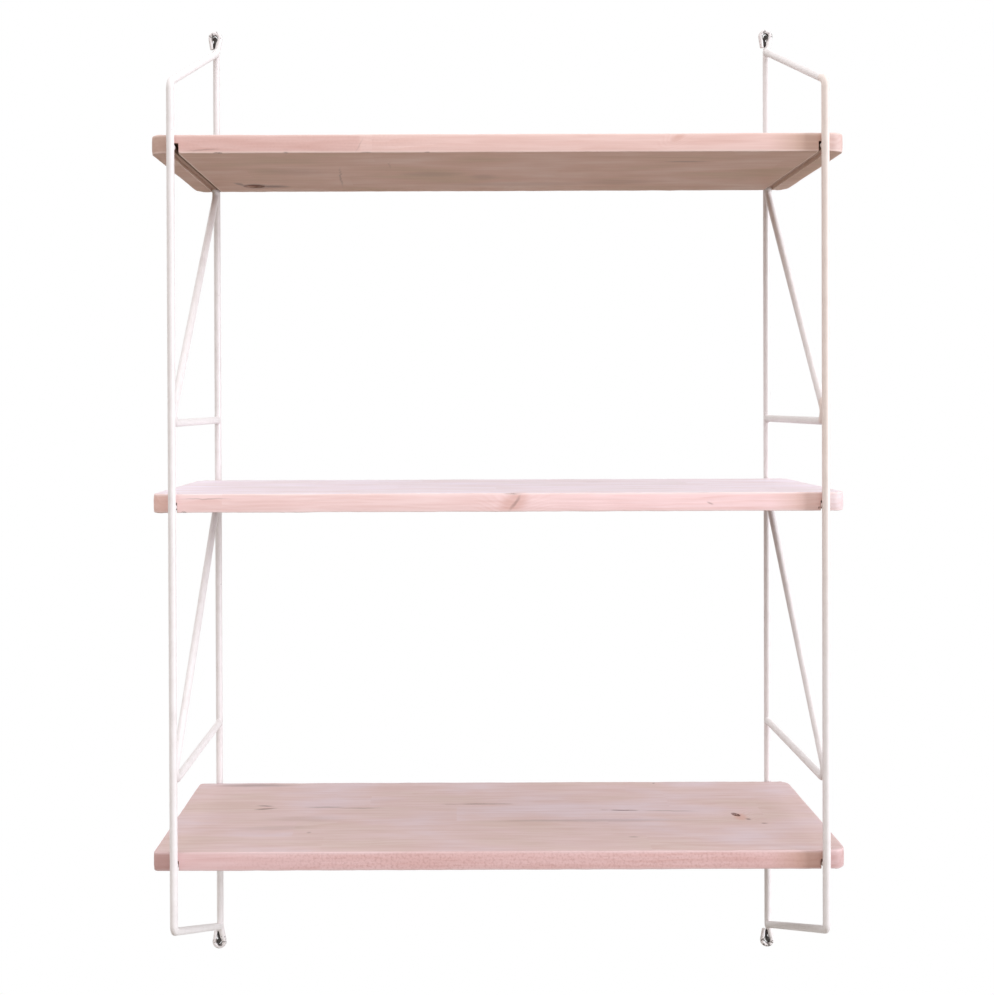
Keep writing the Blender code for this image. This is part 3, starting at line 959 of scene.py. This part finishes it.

# A board's own looks. Heights are measured from its rung, and kerf walls and mouths go left, then right. A
# hollow has its middle, half sizes and turn, a stroke of stain also its strength, and the saw marks and the
# knot have their middle, size and strength. Two strokes are painted shade at a kerf notch, and the edge
# tones and upper face tones hold painted light.
BOARDS = {
    "top": {
        "rung_z": SHELF_PITCH,
        "corners": (0.012, 0.012, 0.013, 0.012),
        "kerf_walls": (0.2781, 0.2786),
        "kerf_mouths": (0.2770, 0.2786),
        "stave_joint": (-0.1210, -0.1190),
        "edge_tones_and_shadows": ("#CAAB9D", "#E0BAB3", "#EBC9C2", "#D2B1A3", "#DCC0BA"),
        "under_tones": ("#D2B49C", "#DDBAA8", "#E7CBBD"),
        "upper_painted_light_tones": ("#CBB8B3", "#D1BDBD", "#D7C5CA"),
        "rubbed_and_highlight_tone": "#F0D7CF",
        "seed": 3.0,
        "saw_marks": (-0.20, 0.10, 0.10),
        "knot": ((0.157, FRONT_EDGE, 0.008), (0.008, 0.010, 0.003), 0.35),
        "hollows": (
            ((-0.238, -0.043, UNDER), (0.0110, 0.0095, 0.0030), 0.0),
            ((-0.278, FRONT_EDGE, UNDER), (0.0030, 0.0016, 0.0014), 0.0),
            ((-0.243, FRONT_EDGE, UNDER), (0.0055, 0.0014, 0.0012), 0.0),
        ),
        "strokes": (
            ((-0.236, -0.043, UNDER), (0.0175, 0.0180, 0.004), (0, 0, 0), 0.9),
            ((-0.220, -0.041, UNDER), (0.022, 0.0110, 0.004), (0, 0, 0), 0.75),
            ((-0.2505, -0.054, UNDER), (0.0050, 0.014, 0.004), (0, 0, -0.27), 0.6),
            ((-0.147, -0.090, UNDER), (0.0016, 0.066, 0.004), (0, 0, 0.06), 0.42),
            ((-0.097, -0.150, UNDER), (0.0012, 0.022, 0.004), (0, 0, 0.05), 0.18),
            ((0.172, -0.163, UNDER), (0.026, 0.005, 0.004), (0, 0, 0), 0.40),
            ((-0.060, -0.105, UNDER), (0.040, 0.020, 0.004), (0, 0, 0), 0.22),
            ((-0.010, -0.090, UNDER), (0.020, 0.020, 0.004), (0, 0, 0.4), 0.24),
            ((0.120, -0.060, UNDER), (0.060, 0.022, 0.004), (0, 0, 0), 0.16),
            ((-0.190, -0.120, UNDER), (0.050, 0.026, 0.004), (0, 0, 0.1), 0.14),
            ((0.020, -0.050, UNDER), (0.110, 0.016, 0.004), (0, 0, 0), 0.16),
            ((-0.120, FRONT_EDGE, 0.002), (0.0011, 0.004, 0.010), (0, math.radians(27), 0), 0.16),
            ((-0.255, FRONT_EDGE, -0.002), (0.020, 0.003, 0.0012), (0, 0, 0), 0.35),
            ((-0.184, FRONT_EDGE, UNDER), (0.0035, 0.003, 0.0020), (0, 0, 0), 0.6),
            ((-0.116, FRONT_EDGE, UNDER), (0.0090, 0.003, 0.0018), (0, 0, 0), 0.5),
            ((-0.061, FRONT_EDGE, UNDER), (0.0035, 0.003, 0.0020), (0, 0, 0), 0.6),
        ),
    },
    "middle": {
        "rung_z": 0.0,
        "corners": (0.012, 0.012, 0.012, 0.012),
        "kerf_walls": (0.2797, 0.2797),
        "kerf_mouths": (0.2797, 0.2797),
        "stave_joint": (-0.0600, 0.1200),
        "edge_tones_and_shadows": ("#EAC5BC", "#F4D6D4", "#F9D9DA", "#E4C2BB", "#E4D2D4"),
        "under_tones": ("#E8DEE6", "#ECE1EC", "#EEE4F2"),
        "upper_painted_light_tones": ("#F2E8EF", "#F6EBF4", "#F8EEFA"),
        "rubbed_and_highlight_tone": "#F4DDDA",
        "seed": 11.0,
        "saw_marks": (0.0, 0.10, 0.0),
        "knot": ((0.013, FRONT_EDGE, 0.003), (0.015, 0.020, 0.009), 0.43),
        "hollows": (
            ((-0.274, FRONT_EDGE, UNDER), (0.0030, 0.0016, 0.0016), 0.0),
            ((0.012, FRONT_EDGE, UPPER), (0.0040, 0.0012, 0.0012), 0.0),
        ),
        "strokes": (
            # painted shade at the mouth of the right kerf, beside the upright
            ((0.2786, FRONT_EDGE, -0.0020), (0.0014, 0.003, 0.0020), (0, 0, 0), 0.9),
            ((0.098, -0.060, UPPER), (0.013, 0.0030, 0.004), (0, 0, 0), 0.35),
            ((0.251, -0.157, UPPER), (0.004, 0.0020, 0.004), (0, 0, 0), 0.5),
            ((0.012, FRONT_EDGE, UPPER), (0.014, 0.0030, 0.0022), (0, 0, 0), 0.40),
            ((0.014, FRONT_EDGE, 0.003), (0.0024, 0.010, 0.011), (0, math.radians(35), 0), 0.40),
            ((0.184, FRONT_EDGE, 0.002), (0.0040, 0.006, 0.0012), (0, math.radians(20), 0), 0.4),
            ((-0.255, FRONT_EDGE, 0.007), (0.030, 0.004, 0.0009), (0, 0, 0), 0.30),
        ),
    },
    "bottom": {
        "rung_z": -SHELF_PITCH,
        "corners": (0.005, 0.012, 0.005, 0.010),
        "kerf_walls": (0.2797, 0.2797),
        "kerf_mouths": (0.2797, 0.2797),
        "stave_joint": (-0.2800, -0.0500),
        "edge_tones_and_shadows": ("#C6A09C", "#E0BFBF", "#DBB7B5", "#C8A398", "#CDADAC"),
        "under_tones": ("#CAB8AE", "#CEB7B6", "#D0C0C7"),
        "upper_painted_light_tones": ("#D3BDB7", "#D6BEBC", "#D8C5C9"),
        "rubbed_and_highlight_tone": "#DABFBE",
        "seed": 23.0,
        "saw_marks": (0.02, 0.15, 0.50),
        "knot": ((0.229, -0.118, UPPER), (0.007, 0.011, 0.006), 0.50),
        "hollows": (
            ((-0.017, -0.078, UPPER), (0.034, 0.0008, 0.0028), 0.0),
            ((0.118, -0.098, UPPER), (0.018, 0.0010, 0.0028), -0.05),
            ((0.226, -0.112, UPPER), (0.0032, 0.0056, 0.0028), 0.5),
            ((-0.269, FRONT_EDGE, UNDER), (0.0050, 0.0010, 0.0011), 0.0),
        ),
        "strokes": (
            # painted shade at the mouth of the right kerf, beside the upright
            ((0.2796, FRONT_EDGE, 0.0010), (0.0018, 0.003, 0.0036), (0, 0, 0), 0.95),
            ((-0.222, -0.091, UPPER), (0.014, 0.0030, 0.004), (0, 0, 0.20), 0.65),
            ((-0.224, -0.082, UPPER), (0.012, 0.0030, 0.004), (0, 0, -0.10), 0.55),
            ((-0.165, -0.086, UPPER), (0.026, 0.0030, 0.004), (0, 0, 0), 0.42),
            ((-0.130, -0.089, UPPER), (0.028, 0.0026, 0.004), (0, 0, 0), 0.36),
            ((0.165, -0.100, UPPER), (0.036, 0.0018, 0.004), (0, 0, -0.05), 0.45),
            ((0.092, -0.127, UPPER), (0.130, 0.0060, 0.004), (0, 0, 0.01), 0.22),
            ((0.050, -0.127, UPPER), (0.060, 0.0035, 0.004), (0, 0, 0.01), 0.30),
            ((0.248, -0.137, UPPER), (0.004, 0.0020, 0.004), (0, 0, 0), 0.6),
            ((0.235, -0.125, UPPER), (0.0030, 0.0040, 0.004), (0, 0, 0.5), 0.6),
            ((0.121, -0.172, UPPER), (0.006, 0.0020, 0.004), (0, 0, 0), 0.4),
            ((0.164, -0.013, UPPER), (0.0022, 0.0030, 0.004), (0, 0, 0), 0.6),
            ((-0.172, -0.157, UPPER), (0.0030, 0.0030, 0.004), (0, 0, 0), 0.35),
            ((-0.242, -0.017, UPPER), (0.056, 0.0070, 0.004), (0, 0, 0), 0.40),
            ((-0.205, -0.145, UPPER), (0.050, 0.0090, 0.004), (0, 0, 0.05), 0.14),
            ((-0.180, -0.120, UPPER), (0.050, 0.0120, 0.004), (0, 0, 0), 0.12),
        ),
    },
}

for level_name, look in BOARDS.items():
    rung_z = look["rung_z"]
    middle = Vector((0, BOARD_Y, rung_z - BOARD_DROP + BOARD_THICKNESS / 2))
    board = plank(f"{level_name}_board_pine", middle, look["corners"])
    for side, wall, mouth in zip((-1, 1), look["kerf_walls"], look["kerf_mouths"]):
        cuts = [(wall, BOARD_DEPTH + 2 * SAW_OVERRUN)]
        if mouth < wall:
            cuts.append((mouth, KERF_MOUTH_LENGTH + SAW_OVERRUN))
        for inner, length in cuts:
            bpy.ops.object.select_all(action="DESELECT")
            bpy.ops.mesh.primitive_cube_add(
                size=1,
                location=(
                    side * (inner + KERF_OUTER_WALL) / 2,
                    FRONT_EDGE - SAW_OVERRUN + length / 2,
                    rung_z - BOARD_DROP,
                ),
                scale=(KERF_OUTER_WALL - inner, length, 2 * KERF_DEPTH),
            )
            cut(board, bpy.context.object)
    lift = Vector((0, 0, rung_z))
    marks = [(Vector(centre) + lift, *stroke, STROKE_CORE) for centre, *stroke in look["strokes"]]
    # painted shade: each hollow is darkened a little past its rim, for the shadow in it
    for centre, half_sizes, turn in look["hollows"]:
        at = Vector(centre) + lift
        cut(board, hollow(at, half_sizes, turn, HOLLOW_ROUGHNESS * min(half_sizes)))
        painted_shade = Vector(half_sizes) * HOLLOW_SHADE_SPREAD
        marks.append((at, painted_shade, (0, 0, turn), HOLLOW_SHADE_STRENGTH, HOLLOW_SHADE_CORE))
    bpy.ops.object.mode_set(mode="EDIT")
    close_mesh()
    cover(board, washed_pine(f"pink_washed_pine_{level_name}", look, middle, lift, marks))
    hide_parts(f"{level_name}_board")
    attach(board, f"{level_name}_shelf")


# Nails. Each eye hangs on one round wire nail, driven in at right angles to the wall. Its head was set by a
# few blows, so it is a little domed, and the steel has gone dark and dull. Each step of the head and the
# point has its length and the radius that it ends with.
NAIL_CROWN_RADIUS = 0.0012
NAIL_HEAD_RADIUS = 0.0023
NAIL_SHANK_RADIUS = 0.0017
NAIL_HEAD = (
    (0.00015, 0.0019),
    (0.00020, NAIL_HEAD_RADIUS),
    (0.00095, NAIL_HEAD_RADIUS),
    (0.00010, 0.0021),
    (0.00010, NAIL_SHANK_RADIUS),
)
NAIL_POINT = ((0.00450, 0.0008), (0.00140, 0.0002))
NAIL_POINT_GAP = 0.0001
SCALE_SPOT_MM = 1.111

dull_steel, tree, shader, place = new_finish("darkened_nail_steel")
scale_spots = add(
    tree,
    "TexNoise",
    {"Vector": place, "Scale": 1000 / SCALE_SPOT_MM, "Detail": 3.0, "Roughness": 0.6},
)
dark = add(
    tree,
    "ValToRGB",
    {"Fac": scale_spots},
    ramp=[(0.35, "#2A2725"), (0.62, "#4A4542"), (0.74, "#5E4A3C")],
)
blows = add(tree, "Bump", {"Height": scale_spots, "Strength": 0.4, "Distance": 0.0002})
finish = add(tree, "MapRange", {"Value": scale_spots, "To Min": 0.45, "To Max": 0.65})
feed(tree, shader, {"Metallic": 0.7, "Base Color": dark, "Roughness": finish, "Normal": blows})

low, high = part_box("left_top_nail")
axis = (low + high) / 2
nail = start_wire("left_top_nail_steel", (axis.x, low.y, axis.z), Vector((0, -1, 0)), NAIL_CROWN_RADIUS)
before = NAIL_CROWN_RADIUS
depth = low.y
shank = high.y - low.y - NAIL_POINT_GAP - sum(run for run, radius in NAIL_HEAD + NAIL_POINT)
for run, radius in (*NAIL_HEAD, (shank, NAIL_SHANK_RADIUS), *NAIL_POINT):
    depth += run
    pull((0, run, 0))
    grow = radius / before
    bpy.ops.transform.resize(value=(grow, 1, grow), center_override=(axis.x, depth, axis.z))
    before = radius
close_mesh()
for node in ("right_top_nail", "left_bottom_nail", "right_bottom_nail", "left_top_nail"):
    there = sum(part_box(node), Vector()) / 2
    piece = nail if node == "left_top_nail" else copy_of(nail, f"{node}_steel", there - axis)
    cover(piece, dull_steel)
    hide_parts(node)
    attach(piece, "ladders")


# The floor. A plain pale floor a good metre below the shelf, which catches its shadow. Towards its edge the
# camera sees it fade into the white surround.
FLOOR_MIDDLE = (0, -0.45, -1.75)
FLOOR_SIZE = 1.0
bpy.ops.object.select_all(action="DESELECT")
bpy.ops.mesh.primitive_plane_add(size=FLOOR_SIZE, location=FLOOR_MIDDLE)
floor = bpy.context.object
floor.name = "floor"
bpy.ops.object.transform_apply(location=True, rotation=True, scale=True)
pale, tree, shader, place = new_finish("pale_floor_paint")
feed(tree, shader, {"Base Color": linear("#D9D6D1"), "Roughness": 0.8})
patch = add(
    tree,
    "Mapping",
    {"Vector": place, "Location": FLOOR_MIDDLE, "Scale": [FLOOR_SIZE / 2] * 3},
    vector_type="TEXTURE",
)
far = add(tree, "VectorMath", {0: patch}, "LENGTH")
fade = add(
    tree,
    "MapRange",
    {"Value": far, "From Min": 0.35, "From Max": 0.98},
    interpolation_type="SMOOTHSTEP",
)
rays = add(tree, "LightPath", {})
faded = add(tree, "Math", {0: fade, 1: rays.outputs["Is Camera Ray"]}, "MULTIPLY")
glow = add(tree, "Emission", {"Color": (1, 1, 1, 1), "Strength": 1.0})
seen = add(tree, "MixShader", {"Fac": faded, 1: shader, 2: glow})
feed(tree, tree.nodes["Material Output"], {"Surface": seen})
cover(floor, pale)
floor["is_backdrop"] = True


# The world and the lamp: a plain white surround, brighter and cooler from above than from below, with a
# window light from the right.
OVERHEAD_WAY = (-0.161, -0.376, 0.913)
OVERHEAD_STRENGTH = 1.75
BELOW_STRENGTH = 0.205
WINDOW_FROM = Vector((0.9188, -0.3900, 0.060))
WINDOW_DISTANCE = 6.4
WINDOW_WIDTH = 1.2
WINDOW_HEIGHT = 2.0
WINDOW_WATTS = 325.0

world = bpy.data.worlds.new("white_surround")
bpy.context.scene.world = world
world.use_nodes = True
tree = world.node_tree
tree.nodes.clear()
rays = add(tree, "LightPath", {})
mirrored = add(
    tree,
    "Math",
    {0: rays.outputs["Is Glossy Ray"], 1: rays.outputs["Is Transmission Ray"]},
    "MAXIMUM",
)
seen = add(tree, "Math", {0: rays.outputs["Is Camera Ray"], 1: mirrored}, "MAXIMUM")
direction = add(tree, "TexCoord", {}).outputs["Generated"]
upward = add(tree, "VectorMath", {0: direction, 1: OVERHEAD_WAY}, "DOT_PRODUCT")
overhead = add(
    tree, "MapRange", {"Value": upward, "From Min": 0.0, "From Max": 0.9}, interpolation_type="SMOOTHSTEP"
)
below = add(tree, "Background", {"Color": linear("#FFE2BC"), "Strength": BELOW_STRENGTH})
above = add(tree, "Background", {"Color": linear("#F8F8FA"), "Strength": OVERHEAD_STRENGTH})
room = add(tree, "MixShader", {"Fac": overhead, 1: below, 2: above})
white = add(tree, "Background", {"Color": (1, 1, 1, 1), "Strength": 1.0})
both = add(tree, "MixShader", {"Fac": seen, 1: room, 2: white})
add(tree, "OutputWorld", {"Surface": both})

lamp = bpy.data.lights.new("window", "AREA")
lamp.shape = "RECTANGLE"
lamp.size = WINDOW_WIDTH
lamp.size_y = WINDOW_HEIGHT
lamp.energy = WINDOW_WATTS
lamp.color = linear("#F0F6FF")[:3]
window = bpy.data.objects.new("window", lamp)
window.location = WINDOW_FROM * WINDOW_DISTANCE
window.rotation_euler = (-WINDOW_FROM).to_track_quat("-Z", "Y").to_euler()
bpy.context.scene.collection.objects.link(window)

low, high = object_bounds()
